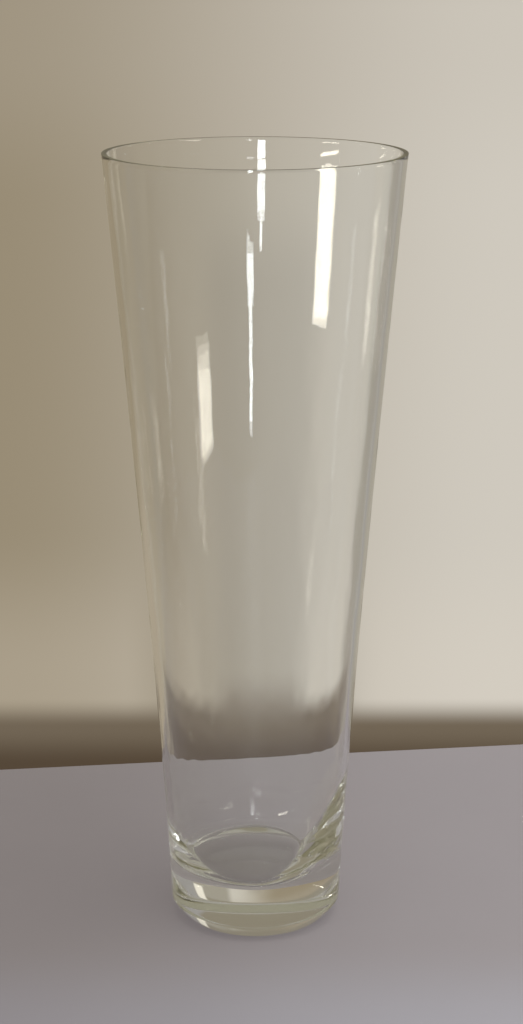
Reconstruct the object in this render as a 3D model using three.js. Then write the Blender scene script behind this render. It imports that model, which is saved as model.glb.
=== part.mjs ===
// A tall tapered glass vase: one piece of clear glass, with a thin flaring wall on a thick solid foot.
// Millimetres, +Z up. The origin is the centre of the foot, on the surface that the vase stands on.

import * as THREE from "three";

// Outside
const HEIGHT = 400;
const FOOT_RADIUS = 44;
const RIM_RADIUS = 75;
const FLARE_POWER = 1.19; // 1 would be a straight cone; above 1 the wall leans out more as it rises

// The heel, where the foot turns under
const HEEL_WIDTH = 7.5;
const HEEL_HEIGHT = 8.5;
const HEEL_FLATNESS = 1.8; // 1 would be a round heel, 2 a straight bevel

// Glass thickness
const RIM_THICKNESS = 2.6;
const LOW_WALL_THICKNESS = 3.4;
const RIM_ROUNDING = 0.5;

// The bottom of the cavity
const FLOOR_HEIGHT = 30;
const FILLET_WIDTH = 8;
const FILLET_HEIGHT = 20;

// Smoothness
const TURN_SEGMENTS = 72;
const WALL_STEPS = 16;
const FILLET_STEPS = 8;
const HEEL_STEPS = 6;
const RIM_STEPS = 2;

const QUARTER_TURN = Math.PI / 2;

const glassMaterial = new THREE.MeshStandardMaterial({
  color: 0xdfe5da,
  roughness: 0.03,
  metalness: 0,
  transparent: true,
  opacity: 0.3,
});

function outerRadius(height) {
  return FOOT_RADIUS + (RIM_RADIUS - FOOT_RADIUS) * (height / HEIGHT) ** FLARE_POWER;
}

function innerRadius(height) {
  const thickness = THREE.MathUtils.lerp(LOW_WALL_THICKNESS, RIM_THICKNESS, height / HEIGHT);
  return outerRadius(height) - thickness;
}

// Points up or down a wall, from one height to another, whose radius follows its height.
function wallPoints(radiusAt, from, to) {
  return Array.from({ length: WALL_STEPS + 1 }, (_, step) => {
    const height = THREE.MathUtils.lerp(from, to, step / WALL_STEPS);
    return new THREE.Vector2(radiusAt(height), height);
  });
}

// Points along part of an ellipse. Angle 0 points away from the axis, a quarter turn points up.
function arcPoints(centre, radii, startAngle, endAngle, steps) {
  const clockwise = endAngle < startAngle;
  const arc = new THREE.EllipseCurve(
    centre.x,
    centre.y,
    radii.x,
    radii.y,
    startAngle,
    endAngle,
    clockwise,
  );
  return arc.getPoints(steps);
}

// The softened bevel from the underside up to the outer wall.
function heelPoints() {
  const innerEdge = outerRadius(HEEL_HEIGHT) - HEEL_WIDTH;
  return Array.from({ length: HEEL_STEPS + 1 }, (_, step) => {
    const angle = (QUARTER_TURN * step) / HEEL_STEPS;
    const outward = HEEL_WIDTH * Math.sin(angle) ** HEEL_FLATNESS;
    const upward = HEEL_HEIGHT * (1 - Math.cos(angle) ** HEEL_FLATNESS);
    return new THREE.Vector2(innerEdge + outward, upward);
  });
}

// The fire-polished rim: a rounding outside, a narrow flat top and a rounding inside.
function rimPoints() {
  const springing = HEIGHT - RIM_ROUNDING;
  const radii = new THREE.Vector2(RIM_ROUNDING, RIM_ROUNDING);
  const outer = new THREE.Vector2(outerRadius(springing) - RIM_ROUNDING, springing);
  const inner = new THREE.Vector2(innerRadius(springing) + RIM_ROUNDING, springing);
  return [
    ...arcPoints(outer, radii, 0, QUARTER_TURN, RIM_STEPS),
    ...arcPoints(inner, radii, QUARTER_TURN, 2 * QUARTER_TURN, RIM_STEPS),
  ];
}

// The bowl-like turn from the inner wall to the flat floor.
function filletPoints() {
  const top = FLOOR_HEIGHT + FILLET_HEIGHT;
  const centre = new THREE.Vector2(innerRadius(top) - FILLET_WIDTH, top);
  const radii = new THREE.Vector2(FILLET_WIDTH, FILLET_HEIGHT);
  return arcPoints(centre, radii, 0, -QUARTER_TURN, FILLET_STEPS);
}

// Half of the vase's section, from the axis under the foot, round the outside and back to the axis.
function sectionPoints() {
  const springing = HEIGHT - RIM_ROUNDING;
  const points = [
    new THREE.Vector2(0, 0),
    ...heelPoints(),
    ...wallPoints(outerRadius, HEEL_HEIGHT, springing),
    ...rimPoints(),
    ...wallPoints(innerRadius, springing, FLOOR_HEIGHT + FILLET_HEIGHT),
    ...filletPoints(),
    new THREE.Vector2(0, FLOOR_HEIGHT),
  ];
  const closest = 1e-6;
  return points.filter((point, i) => i === 0 || point.distanceTo(points[i - 1]) > closest);
}

function makeVaseGlass() {
  const geometry = new THREE.LatheGeometry(sectionPoints(), TURN_SEGMENTS);
  const mesh = new THREE.Mesh(geometry, glassMaterial);
  mesh.name = "vase_glass";
  mesh.rotation.x = QUARTER_TURN; // the lathe turns about Y, and the vase stands along Z
  return mesh;
}

const vase = new THREE.Group();
vase.add(makeVaseGlass());

export default vase;
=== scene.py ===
"""A tall tapered glass vase on a pale tabletop: its fine surface, the light around it and the camera."""

import math
import random

import bpy
from mathutils import Matrix, Vector


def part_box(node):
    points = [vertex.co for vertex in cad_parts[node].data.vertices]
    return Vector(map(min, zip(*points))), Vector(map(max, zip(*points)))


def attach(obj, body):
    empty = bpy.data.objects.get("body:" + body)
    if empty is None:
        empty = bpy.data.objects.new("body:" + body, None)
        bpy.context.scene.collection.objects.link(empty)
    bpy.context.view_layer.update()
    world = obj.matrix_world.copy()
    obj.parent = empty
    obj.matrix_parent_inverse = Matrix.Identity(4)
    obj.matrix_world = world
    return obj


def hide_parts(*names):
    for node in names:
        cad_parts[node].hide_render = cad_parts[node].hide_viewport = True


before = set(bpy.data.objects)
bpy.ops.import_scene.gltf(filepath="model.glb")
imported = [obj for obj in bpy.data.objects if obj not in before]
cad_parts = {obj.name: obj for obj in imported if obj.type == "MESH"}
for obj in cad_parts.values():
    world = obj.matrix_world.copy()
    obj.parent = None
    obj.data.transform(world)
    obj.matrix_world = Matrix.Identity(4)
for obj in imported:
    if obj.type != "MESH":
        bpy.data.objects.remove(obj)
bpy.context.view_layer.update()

# ---------------------------------------------------------------- the vase, in millimetres
MM = 0.001
BOX_LOW, BOX_HIGH = (Vector(corner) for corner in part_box("vase_glass"))
HEIGHT = (BOX_HIGH.z - BOX_LOW.z) / MM
RIM_RADIUS = 75.0
FOOT_RADIUS = 44.0
FLARE_POWER = 1.19
HEEL_WIDTH = 7.5
HEEL_HEIGHT = 8.5
HEEL_FLATNESS = 1.8  # 1 is round, 2 is a straight bevel

RIM_THICKNESS = 2.6
LOW_WALL_THICKNESS = 3.4
RIM_ROUNDING = 0.12

# The fillet round the floor is uneven: tight at +Y and much larger at +X.
FLOOR_HEIGHT = 30.0
TIGHT_FILLET = (2.0, 4.0)  # width, height
SETTLED_GLASS = (  # direction in degrees from +X, extra width, extra height
    (0.0, 20.0, 51.0),
    (180.0, 7.0, 22.0),
    (270.0, 2.0, 5.0),
)
SETTLING_POWER = 1.6
FILLET_FLATNESS = 1.3  # 1 is an ellipse, 2 a straight bevel

# Smoothness of the fine surface
TURN_STEPS = 224
WALL_STEPS = 160
FILLET_STEPS = 28
HEEL_STEPS = 20
RIM_STEPS = 6
FLAT_STEPS = 10

# Faint waves in the glass, which break up its reflections
RIPPLE_SEED = 11
RIPPLE_COUNT = 14
WALL_RIPPLE = 0.024  # moves both faces together
INSIDE_RIPPLE = 0.002  # moves the inner face alone
RIPPLE_FADE = 14.0  # millimetres over which they die out at the rim and the floor
RIPPLE_TURNS = (3, 34)  # fewest and most waves around the vase
RIPPLE_LENGTHS = (11.0, 120.0)  # shortest and longest waves up the wall
RIPPLE_SHARES = (0.3, 1.0)

GLASS_COLOUR = (0.985, 0.99, 0.98, 1.0)
GLASS_IOR = 1.5
GLASS_TINT = (0.90, 0.90, 0.82, 1.0)
GLASS_TINT_DENSITY = 6.0
SMEAR_ROUGHNESS = 0.010

# ---------------------------------------------------------------- the room, in metres
TABLE_DEPTH_BEHIND = 0.217
TABLE_TURN = math.radians(7.4)
TABLE_SIZE = (3.4, 2.6)
TABLE_THICKNESS = 0.03
TABLE_GAP = 0.0002

BACKDROP_DISTANCE = 2.6
BACKDROP_HALF_WIDTH = 5.5
BACKDROP_LOW = -1.9
BACKDROP_HIGH = 3.2

CEILING_LIGHT_PLACE = (0.7, -0.5, 2.3)
CEILING_LIGHT_AIM = (0.0, 0.1, 0.0)
CEILING_LIGHT_SIZE = (2.2, 2.2)
CEILING_LIGHT_POWER = 27.0
CEILING_LIGHT_COLOUR = (1.0, 0.97, 0.93)

CREAM = (1.0, 0.95, 0.85)
DAYLIGHT = (0.90, 0.95, 1.0)
WINDOW_DISTANCE = 4.0
WINDOWS = (  # name, bearing and width in degrees, low, high, glow, colour, tilt in degrees
    ("window_left", -63.2, 15.5, 0.165, 0.548, 11.0, CREAM, 3.0),
    ("window_right", 50.5, 13.0, -0.18, 0.105, 7.6, CREAM, -3.0),
    ("window_right_top", 50.5, 13.0, 0.105, 0.165, 3.0, CREAM, -3.0),
    ("window_behind", -5.2, 6.0, 0.53, 0.80, 16.0, DAYLIGHT, 0.0),
    ("window_behind_gap", -5.2, 2.0, 0.46, 0.53, 12.0, DAYLIGHT, 0.0),
    ("doorway_behind_high", 4.0, 5.5, 0.33, 0.47, 14.0, DAYLIGHT, 0.0),
    ("doorway_behind_low", 4.2, 3.0, 0.0, 0.33, 14.0, DAYLIGHT, 0.0),
    ("lamp_behind", 4.0, 5.0, 1.14, 1.24, 240.0, DAYLIGHT, 0.0),
)
LIGHT_BOUNCES = 256  # light crosses the thick foot many times before it leaves

CAMERA_DISTANCE = 1.122
CAMERA_HEIGHT = 0.523
CAMERA_PITCH = math.radians(15.21)
CAMERA_YAW = math.radians(0.163)
LENS = 80.3
SENSOR = 36.0
NEAREST_VIEW = 0.02


# ---------------------------------------------------------------- outline of the glass
def lerp(start, end, share):
    return start + (end - start) * share


def outer_radius(height):
    return FOOT_RADIUS + (RIM_RADIUS - FOOT_RADIUS) * (height / HEIGHT) ** FLARE_POWER


def inner_radius(height):
    return outer_radius(height) - lerp(LOW_WALL_THICKNESS, RIM_THICKNESS, height / HEIGHT)


def fillet_size(turn):
    """Width and height of the fillet between the inner wall and the floor."""
    width, height = TIGHT_FILLET
    for direction, extra_width, extra_height in SETTLED_GLASS:
        share = max(0.0, math.cos(turn - math.radians(direction))) ** SETTLING_POWER
        width += share * extra_width
        height += share * extra_height
    return width, height


def make_ripples():
    """Waves as (turns around, waves per millimetre, phase, share of the depth)."""
    chance = random.Random(RIPPLE_SEED)
    waves = []
    for _ in range(RIPPLE_COUNT):
        around = chance.randint(*RIPPLE_TURNS)
        upward = 1.0 / chance.uniform(*RIPPLE_LENGTHS)
        phase = chance.uniform(0.0, math.tau)
        waves.append((around, upward, phase, chance.uniform(*RIPPLE_SHARES)))
    return waves


RIPPLES = make_ripples()


def ripple(turn, height):
    """A wave height between about -1 and 1."""
    total = sum(
        share * math.sin(around * turn + math.tau * upward * height + phase)
        for around, upward, phase, share in RIPPLES
    )
    return total / math.sqrt(RIPPLE_COUNT)


def ripple_fade(height, low):
    to_rim = (HEIGHT - RIM_ROUNDING - height) / RIPPLE_FADE
    to_floor = (height - low) / RIPPLE_FADE
    return max(0.0, min(1.0, to_rim, to_floor))


def underside_points():
    reach = outer_radius(HEEL_HEIGHT) - HEEL_WIDTH
    return [(reach * step / FLAT_STEPS, 0.0) for step in range(FLAT_STEPS)]


def arc_points(centre, radii, start, end, steps):
    """Points along part of an ellipse; angle 0 points outwards, a quarter turn points up."""
    angles = [lerp(start, end, step / steps) for step in range(steps + 1)]
    return [(centre[0] + radii[0] * math.cos(a), centre[1] + radii[1] * math.sin(a)) for a in angles]


def quarter_points(centre, radii, flatness, steps):
    """A quarter turn from straight out to straight down: flatness 1 is an ellipse, 2 a straight bevel."""
    points = []
    for step in range(steps + 1):
        angle = math.pi / 2 * step / steps
        outward = radii[0] * abs(math.cos(angle)) ** flatness
        downward = radii[1] * math.sin(angle) ** flatness
        points.append((centre[0] + outward, centre[1] - downward))
    return points


def heel_points():
    centre = (outer_radius(HEEL_HEIGHT) - HEEL_WIDTH, HEEL_HEIGHT)
    points = quarter_points(centre, (HEEL_WIDTH, HEEL_HEIGHT), HEEL_FLATNESS, HEEL_STEPS)
    return points[::-1]


def outer_wall_points(turn):
    points = []
    for step in range(1, WALL_STEPS + 1):
        height = lerp(HEEL_HEIGHT, HEIGHT - RIM_ROUNDING, step / WALL_STEPS)
        wave = WALL_RIPPLE * ripple(turn, height) * ripple_fade(height, HEEL_HEIGHT)
        points.append((outer_radius(height) + wave, height))
    return points


def rim_points():
    springing = HEIGHT - RIM_ROUNDING
    radii = (RIM_ROUNDING, RIM_ROUNDING)
    outside = (outer_radius(springing) - RIM_ROUNDING, springing)
    inside = (inner_radius(springing) + RIM_ROUNDING, springing)
    return (
        arc_points(outside, radii, 0.0, math.pi / 2, RIM_STEPS)[1:]
        + arc_points(inside, radii, math.pi / 2, math.pi, RIM_STEPS)
    )


def inner_wall_points(turn, low):
    points = []
    for step in range(1, WALL_STEPS + 1):
        height = lerp(HEIGHT - RIM_ROUNDING, low, step / WALL_STEPS)
        shared = WALL_RIPPLE * ripple(turn, height)
        alone = INSIDE_RIPPLE * ripple(-turn, height)
        wave = (shared + alone) * ripple_fade(height, low)
        points.append((inner_radius(height) + wave, height))
    return points


def section(turn):
    """Half of the section at one turn, from under the foot, round the outside and back to the axis."""
    width, height = fillet_size(turn)
    low = FLOOR_HEIGHT + height
    floor_edge = inner_radius(low) - width
    floor = [(floor_edge * (1 - step / FLAT_STEPS), FLOOR_HEIGHT) for step in range(1, FLAT_STEPS + 1)]
    return (
        underside_points()
        + heel_points()
        + outer_wall_points(turn)
        + rim_points()
        + inner_wall_points(turn, low)
        + quarter_points((floor_edge, low), (width, height), FILLET_FLATNESS, FILLET_STEPS)[1:]
        + floor
    )


def revolve(name, section_at):
    """A closed smooth mesh from sections that start and end on the axis."""
    sections = [section_at(math.tau * step / TURN_STEPS) for step in range(TURN_STEPS)]
    last = len(sections[0]) - 1
    vertices = [(0.0, 0.0, sections[0][0][1] * MM), (0.0, 0.0, sections[0][last][1] * MM)]
    for step, points in enumerate(sections):
        turn = math.tau * step / TURN_STEPS
        for radius, height in points[1:last]:
            vertices.append((radius * math.cos(turn) * MM, radius * math.sin(turn) * MM, height * MM))
    ring = last - 1
    faces = []
    for step in range(TURN_STEPS):
        here = 2 + step * ring
        beside = 2 + (step + 1) % TURN_STEPS * ring
        faces.append((0, beside, here))
        for i in range(ring - 1):
            faces.append((here + i, beside + i, beside + i + 1, here + i + 1))
        faces.append((1, here + ring - 1, beside + ring - 1))
    mesh = bpy.data.meshes.new(name)
    mesh.from_pydata(vertices, [], faces)
    mesh.polygons.foreach_set("use_smooth", [True] * len(mesh.polygons))
    mesh.update()
    piece = bpy.data.objects.new(name, mesh)
    bpy.context.scene.collection.objects.link(piece)
    return piece


# ---------------------------------------------------------------- materials
def new_material(name):
    material = bpy.data.materials.new(name)
    material.use_nodes = True
    material.node_tree.nodes.clear()
    return material, material.node_tree.nodes, material.node_tree.links


def add_noise(nodes, links, coordinates, scale, detail, stretch=(1.0, 1.0, 1.0)):
    mapping = nodes.new("ShaderNodeMapping")
    mapping.inputs["Scale"].default_value = stretch
    noise = nodes.new("ShaderNodeTexNoise")
    noise.inputs["Scale"].default_value = scale
    noise.inputs["Detail"].default_value = detail
    links.new(coordinates, mapping.inputs["Vector"])
    links.new(mapping.outputs["Vector"], noise.inputs["Vector"])
    return noise.outputs["Fac"]


def add_range(nodes, links, value, from_low, from_high, to_low, to_high):
    spread = nodes.new("ShaderNodeMapRange")
    spread.interpolation_type = "SMOOTHSTEP"
    spread.inputs["From Min"].default_value = from_low
    spread.inputs["From Max"].default_value = from_high
    spread.inputs["To Min"].default_value = to_low
    spread.inputs["To Max"].default_value = to_high
    links.new(value, spread.inputs["Value"])
    return spread.outputs["Result"]


def add_math(nodes, links, operation, first, second=0.0):
    """The result of a sum on another node's value: `second` is a number or another node's value."""
    math_node = nodes.new("ShaderNodeMath")
    math_node.operation = operation
    links.new(first, math_node.inputs[0])
    if isinstance(second, float):
        math_node.inputs[1].default_value = second
    else:
        links.new(second, math_node.inputs[1])
    return math_node.outputs["Value"]


def add_distance(nodes, links, value, centre):
    """How far a value is from a number, to either side."""
    return add_math(nodes, links, "ABSOLUTE", add_math(nodes, links, "SUBTRACT", value, centre))


def add_mix(nodes, links, share, low, high):
    """A colour between two: each is a colour or another node's colour output."""
    mix = nodes.new("ShaderNodeMix")
    mix.data_type = "RGBA"
    links.new(share, mix.inputs["Factor"])
    for socket, colour in ((mix.inputs["A"], low), (mix.inputs["B"], high)):
        if isinstance(colour, tuple):
            socket.default_value = (*colour, 1.0)
        else:
            links.new(colour, socket)
    return mix.outputs["Result"]


def make_glass():
    material, nodes, links = new_material("clear_glass")
    output = nodes.new("ShaderNodeOutputMaterial")
    glass = nodes.new("ShaderNodeBsdfPrincipled")
    glass.inputs["Base Color"].default_value = GLASS_COLOUR
    glass.inputs["Transmission Weight"].default_value = 1.0
    glass.inputs["IOR"].default_value = GLASS_IOR
    place = nodes.new("ShaderNodeTexCoord").outputs["Object"]

    # Faint cloudy patches and finer upright streaks, as handling and drying water may leave.
    clouds = add_noise(nodes, links, place, 22.0, 4.0)
    streaks = add_noise(nodes, links, place, 160.0, 3.0, (1.0, 1.0, 0.12))
    cloudy = add_range(nodes, links, clouds, 0.55, 0.75, 0.0, SMEAR_ROUGHNESS)
    streaky = add_range(nodes, links, streaks, 0.60, 0.80, 0.0, SMEAR_ROUGHNESS)
    links.new(add_math(nodes, links, "ADD", cloudy, streaky), glass.inputs["Roughness"])

    # The surface is very slightly uneven.
    bump = nodes.new("ShaderNodeBump")
    bump.inputs["Strength"].default_value = 0.06
    bump.inputs["Distance"].default_value = 0.0004
    links.new(add_noise(nodes, links, place, 70.0, 2.0, (1.0, 1.0, 0.5)), bump.inputs["Height"])
    links.new(bump.outputs["Normal"], glass.inputs["Normal"])
    links.new(glass.outputs["BSDF"], output.inputs["Surface"])

    # Thick glass looks olive: it takes a little blue out of the light that crosses it.
    tint = nodes.new("ShaderNodeVolumeAbsorption")
    tint.inputs["Color"].default_value = GLASS_TINT
    tint.inputs["Density"].default_value = GLASS_TINT_DENSITY
    links.new(tint.outputs["Volume"], output.inputs["Volume"])
    return material


def make_tabletop_with_painted_light():
    material, nodes, links = new_material("tabletop_with_painted_light")
    output = nodes.new("ShaderNodeOutputMaterial")
    paint_and_glow = nodes.new("ShaderNodeBsdfPrincipled")
    place = nodes.new("ShaderNodeTexCoord").outputs["Object"]
    mottle = add_noise(nodes, links, place, 9.0, 5.0)
    colour = add_mix(nodes, links, mottle, (0.185, 0.176, 0.180), (0.215, 0.205, 0.210))
    links.new(colour, paint_and_glow.inputs["Base Color"])

    # Painted light: it also glows by itself, which keeps the shade round the vase faint, in colours painted
    # by place: paler at the right, cooler in front of the vase.
    axes = nodes.new("ShaderNodeSeparateXYZ")
    links.new(place, axes.inputs["Vector"])
    across = add_range(nodes, links, axes.outputs["X"], -0.16, 0.16, 0.0, 1.0)
    middle = add_mix(nodes, links, across, (0.112, 0.096, 0.096), (0.182, 0.165, 0.175))
    close = add_mix(nodes, links, across, (0.135, 0.126, 0.142), (0.235, 0.233, 0.262))
    near = add_range(nodes, links, axes.outputs["Y"], -0.14, -0.04, 1.0, 0.0)
    links.new(add_mix(nodes, links, near, middle, close), paint_and_glow.inputs["Emission Color"])
    paint_and_glow.inputs["Emission Strength"].default_value = 1.0
    paint_and_glow.inputs["Roughness"].default_value = 0.65
    paint_and_glow.inputs["Specular IOR Level"].default_value = 0.25
    links.new(paint_and_glow.outputs["BSDF"], output.inputs["Surface"])
    return material


def add_wall_in_view(nodes, links, x, z, in_middle):
    """The wall behind the vase, painted brighter to the right, with a soft painted shade in the middle."""
    across = add_range(nodes, links, x, -0.45, 0.45, 0.0, 1.0)
    wall = add_mix(nodes, links, across, (0.315, 0.262, 0.180), (0.625, 0.585, 0.515))
    # Painted light: paler low down, out to both sides of the vase.
    outside = add_range(nodes, links, add_distance(nodes, links, x, 0.0), 0.15, 0.23, 0.0, 1.0)
    low = add_range(nodes, links, z, -0.78, -0.50, 0.17, 0.0)
    low_outside = add_math(nodes, links, "MULTIPLY", low, outside)
    wall = add_mix(nodes, links, low_outside, wall, (0.800, 0.720, 0.610))
    # Painted light and shade: high up, both sides are drawn toward one middle tone.
    top = add_range(nodes, links, z, 0.02, 0.28, 0.0, 0.2)
    wall = add_mix(nodes, links, top, wall, (0.500, 0.450, 0.380))
    down = add_range(nodes, links, z, -0.12, 0.06, 1.0, 0.0)
    in_shadow = add_math(nodes, links, "MULTIPLY", in_middle, down)
    shadowed = add_mix(nodes, links, across, (0.274, 0.228, 0.157), (0.544, 0.509, 0.448))
    return add_mix(nodes, links, in_shadow, wall, shadowed)


def add_wall_around(nodes, links, x, z, wall):
    """The wall that only shows in the glass: dimmer high up and to the right, then greyer."""
    beyond = add_range(nodes, links, x, 0.45, 0.62, 0.0, 1.0)
    wall = add_mix(nodes, links, beyond, wall, (0.370, 0.340, 0.280))
    high = add_range(nodes, links, z, 0.34, 0.50, 0.0, 1.0)
    wall = add_mix(nodes, links, high, wall, (0.270, 0.240, 0.180))
    far_right = add_range(nodes, links, x, 1.45, 1.85, 0.0, 1.0)
    return add_mix(nodes, links, far_right, wall, (0.350, 0.335, 0.320))


def add_side_window(nodes, links, x, z, wall):
    """A small bright patch painted far to the right, in place of a window, that lights the foot."""
    in_width = add_range(nodes, links, add_distance(nodes, links, x, 1.48), 0.14, 0.24, 1.0, 0.0)
    in_height = add_range(nodes, links, add_distance(nodes, links, z, 0.45), 0.34, 0.44, 1.0, 0.0)
    bright = add_math(nodes, links, "MULTIPLY", in_width, in_height)
    return add_mix(nodes, links, bright, wall, (0.950, 0.890, 0.770))


def add_low_shade(nodes, links, x, z, in_middle, wall):
    """The wall falls into shade just above the table: sooner in the middle, and not far to the sides."""
    shade = add_range(nodes, links, z, -0.945, -0.875, 0.0, 1.0)
    shaded = add_mix(nodes, links, shade, (0.090, 0.064, 0.041), (0.165, 0.130, 0.090))
    lit_at_sides = add_range(nodes, links, z, -0.875, -0.820, 0.0, 1.0)
    lit_in_middle = add_range(nodes, links, z, -0.895, -0.770, 0.0, 1.0)
    change = add_math(nodes, links, "SUBTRACT", lit_in_middle, lit_at_sides)
    change_here = add_math(nodes, links, "MULTIPLY", change, in_middle)
    lit = add_math(nodes, links, "ADD", lit_at_sides, change_here)
    far = add_range(nodes, links, add_distance(nodes, links, x, 0.0), 0.60, 0.95, 0.0, 1.0)
    lit = add_math(nodes, links, "MAXIMUM", lit, far)
    return add_mix(nodes, links, lit, shaded, wall)


def make_backdrop_light():
    """A cream wall that glows by itself, its light and shade painted in metres across (X) and up (Z)."""
    material, nodes, links = new_material("backdrop_light")
    output = nodes.new("ShaderNodeOutputMaterial")
    glow = nodes.new("ShaderNodeEmission")
    axes = nodes.new("ShaderNodeSeparateXYZ")
    links.new(nodes.new("ShaderNodeTexCoord").outputs["Object"], axes.inputs["Vector"])
    x, z = axes.outputs["X"], axes.outputs["Z"]
    in_middle = add_range(nodes, links, add_distance(nodes, links, x, 0.02), 0.08, 0.17, 1.0, 0.0)
    wall = add_wall_in_view(nodes, links, x, z, in_middle)
    wall = add_wall_around(nodes, links, x, z, wall)
    wall = add_side_window(nodes, links, x, z, wall)
    wall = add_low_shade(nodes, links, x, z, in_middle, wall)
    links.new(wall, glow.inputs["Color"])
    links.new(glow.outputs["Emission"], output.inputs["Surface"])
    return material


# ---------------------------------------------------------------- the vase
def make_vase():
    piece = revolve("vase_clear_glass", section)
    piece.data.materials.append(make_glass())
    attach(piece, "root")
    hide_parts("vase_glass")


# ---------------------------------------------------------------- the stage
def make_stage_piece(name, corners, faces, material):
    mesh = bpy.data.meshes.new(name)
    mesh.from_pydata(corners, [], faces)
    mesh.materials.append(material)
    piece = bpy.data.objects.new(name, mesh)
    bpy.context.scene.collection.objects.link(piece)


def make_tabletop():
    """A slab whose back edge passes a little behind the vase, turned slightly from square."""
    top = BOX_LOW.z - TABLE_GAP
    half = TABLE_SIZE[0] / 2
    back, front = TABLE_DEPTH_BEHIND, TABLE_DEPTH_BEHIND - TABLE_SIZE[1]
    outline = [(-half, front), (half, front), (half, back), (-half, back)]
    turned = [Matrix.Rotation(TABLE_TURN, 2) @ Vector((x, y - back)) for x, y in outline]
    corners = [(p.x, p.y + back, top) for p in turned]
    below = [(x, y, z - TABLE_THICKNESS) for x, y, z in corners]
    sides = [(i, i + 4, (i + 1) % 4 + 4, (i + 1) % 4) for i in range(4)]
    faces = [(0, 1, 2, 3), (7, 6, 5, 4)] + sides
    make_stage_piece("tabletop", corners + below, faces, make_tabletop_with_painted_light())


def make_backdrop():
    x, y = BACKDROP_HALF_WIDTH, BACKDROP_DISTANCE
    outline = [(-x, BACKDROP_LOW), (x, BACKDROP_LOW), (x, BACKDROP_HIGH), (-x, BACKDROP_HIGH)]
    corners = [(across, y, height) for across, height in outline]
    make_stage_piece("backdrop", corners, [(0, 1, 2, 3)], make_backdrop_light())


# ---------------------------------------------------------------- the light
def make_world():
    world = bpy.data.worlds.new("room")
    world.use_nodes = True
    nodes, links = world.node_tree.nodes, world.node_tree.links
    background = nodes["Background"]
    axes = nodes.new("ShaderNodeSeparateXYZ")
    links.new(nodes.new("ShaderNodeTexCoord").outputs["Generated"], axes.inputs["Vector"])
    height = add_range(nodes, links, axes.outputs["Z"], -0.5, 0.6, 0.0, 1.0)
    colour = add_mix(nodes, links, height, (0.36, 0.335, 0.305), (0.40, 0.38, 0.35))
    links.new(colour, background.inputs["Color"])
    bpy.context.scene.world = world


def aim(thing, target):
    direction = Vector(target) - thing.location
    thing.rotation_euler = direction.to_track_quat("-Z", "Y").to_euler()


def make_area_light(name, place, target, size, power, colour):
    light = bpy.data.lights.new(name, "AREA")
    light.shape = "RECTANGLE"
    light.size, light.size_y = size
    light.energy = power
    light.color = colour
    lamp = bpy.data.objects.new(name, light)
    bpy.context.scene.collection.objects.link(lamp)
    lamp.location = place
    aim(lamp, target)
    return lamp


def make_room_light():
    """One broad soft light overhead and to the right, which does not show in the glass."""
    lamp = make_area_light(
        "ceiling_light",
        CEILING_LIGHT_PLACE,
        CEILING_LIGHT_AIM,
        CEILING_LIGHT_SIZE,
        CEILING_LIGHT_POWER,
        CEILING_LIGHT_COLOUR,
    )
    lamp.visible_camera = False
    lamp.visible_glossy = False
    lamp.visible_transmission = False


def make_window(name, bearing, width, low, high, glow, colour, tilt):
    """A bright pane that shows only in gloss and glass. Bearing 0 is behind the camera, positive to +X."""
    angle = math.radians(bearing)
    middle = (low + high) / 2
    place = (WINDOW_DISTANCE * math.sin(angle), -WINDOW_DISTANCE * math.cos(angle), middle)
    size = (2 * WINDOW_DISTANCE * math.tan(math.radians(width) / 2), high - low)
    power = glow * size[0] * size[1] * math.pi
    lamp = make_area_light(name, place, (0.0, 0.0, middle), size, power, colour)
    lamp.rotation_euler.rotate_axis("Z", math.radians(tilt))
    lamp.visible_camera = False
    lamp.visible_diffuse = False


# ---------------------------------------------------------------- the camera
def make_camera():
    data = bpy.data.cameras.new("camera")
    data.lens = LENS
    data.sensor_width = SENSOR
    data.clip_start = NEAREST_VIEW
    camera = bpy.data.objects.new("camera", data)
    bpy.context.scene.collection.objects.link(camera)
    camera.location = (0.0, -CAMERA_DISTANCE, CAMERA_HEIGHT)
    camera.rotation_euler = (math.pi / 2 - CAMERA_PITCH, 0.0, -CAMERA_YAW)
    bpy.context.scene.camera = camera


def set_picture():
    scene = bpy.context.scene
    scene.view_settings.view_transform = "Standard"
    scene.cycles.max_bounces = LIGHT_BOUNCES
    scene.cycles.transmission_bounces = LIGHT_BOUNCES
    scene.cycles.glossy_bounces = LIGHT_BOUNCES


make_camera()
make_vase()
make_tabletop()
make_backdrop()
make_world()
make_room_light()
for window in WINDOWS:
    make_window(*window)
set_picture()
